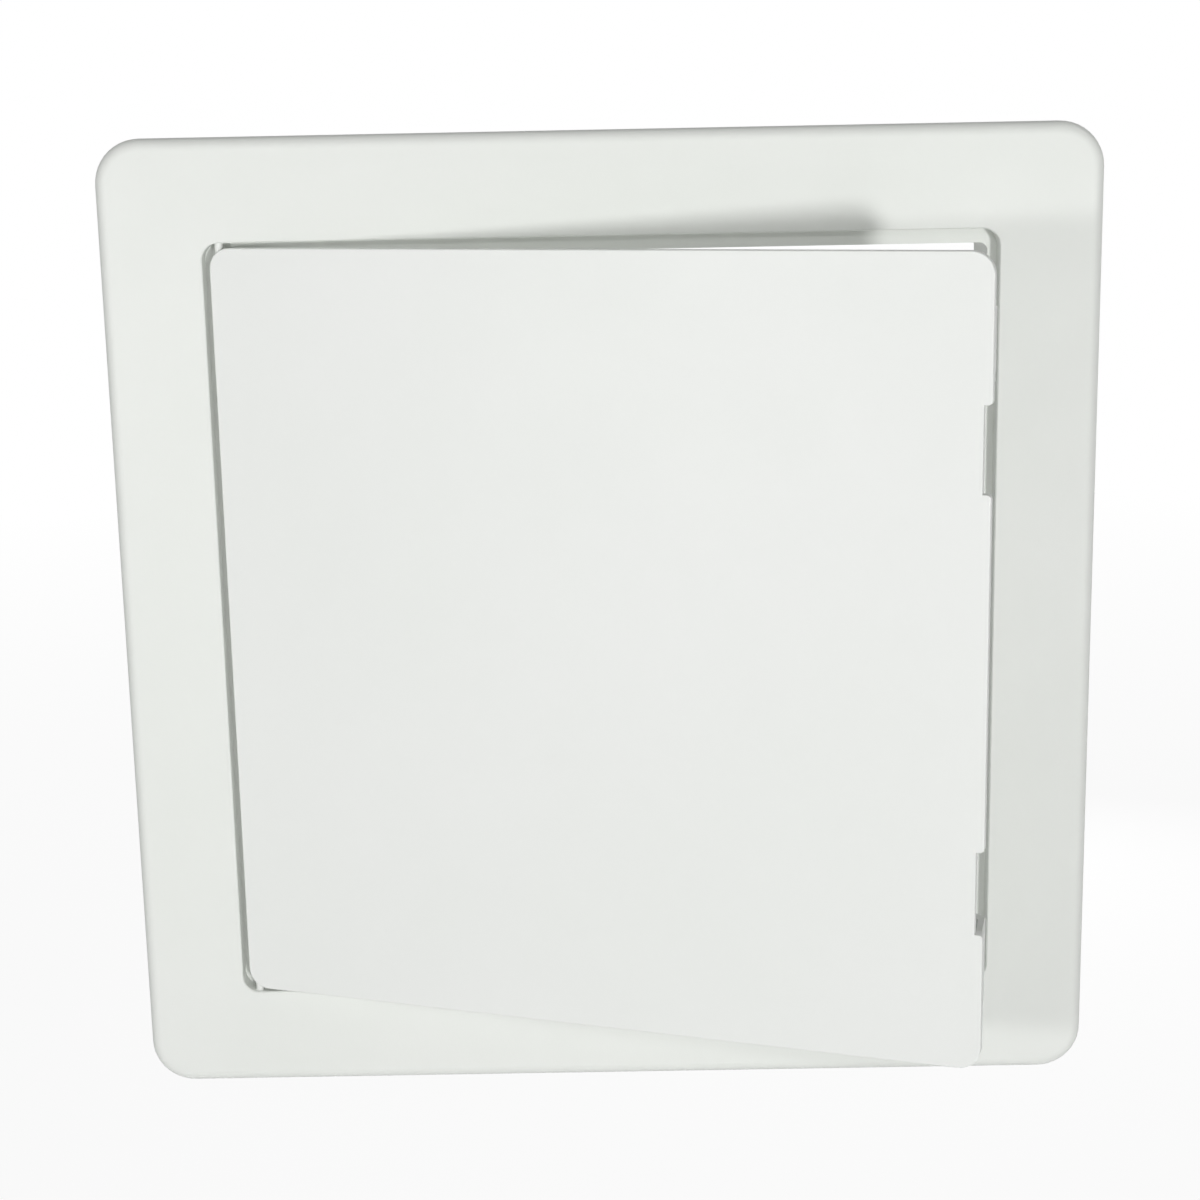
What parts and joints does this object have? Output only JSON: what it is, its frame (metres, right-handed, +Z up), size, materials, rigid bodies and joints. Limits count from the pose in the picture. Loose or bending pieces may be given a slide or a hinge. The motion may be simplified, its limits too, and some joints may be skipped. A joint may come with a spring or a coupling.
{
  "type": "ceiling access panel",
  "caption": "Square white plastic access panel: a rounded flange with a neck for a ceiling or wall cut-out, and a flush door on side hinge pins with snap latches, standing ajar.",
  "frame": {"origin": "centre of the cut-out, in the plane of the ceiling or wall face that the back of the flange lies on", "axes": "+Z up the panel along the hinge side, +Y into the ceiling or wall, +X from the hinge side to the latch side"},
  "size_m": [0.254, 0.0875, 0.254],
  "materials": {
    "frame_plastic": "satin moulded white",
    "door_plastic": "satin moulded white",
    "pin_plastic": "smooth moulded white",
    "latch_plastic": "smooth moulded white"
  },
  "bodies": {
    "frame": {"frame": "frame_plastic"},
    "door": {"door_panel": "door_plastic", "upper_hinge_pin": "pin_plastic", "lower_hinge_pin": "pin_plastic"},
    "upper_latch": {"upper_latch": "latch_plastic"},
    "lower_latch": {"lower_latch": "latch_plastic"}
  },
  "joints": [
    {"name": "door_hinge", "type": "hinge", "parent": "frame", "child": "door", "pos_m": [-0.0966, -0.002, 0], "axis": [0, 0, -1], "range_deg": [-18, 77]},
    {"name": "upper_latch_flex", "type": "hinge", "parent": "door", "child": "upper_latch", "pos_m": [0.09269, -0.04037, 0.077], "axis": [0, 0, -1], "range_deg": [0, 8], "stiffness_Nm_per_rad": 1.5},
    {"name": "lower_latch_flex", "type": "hinge", "parent": "door", "child": "lower_latch", "pos_m": [0.09269, -0.04037, -0.077], "axis": [0, 0, -1], "range_deg": [0, 8], "stiffness_Nm_per_rad": 1.5}
  ]
}
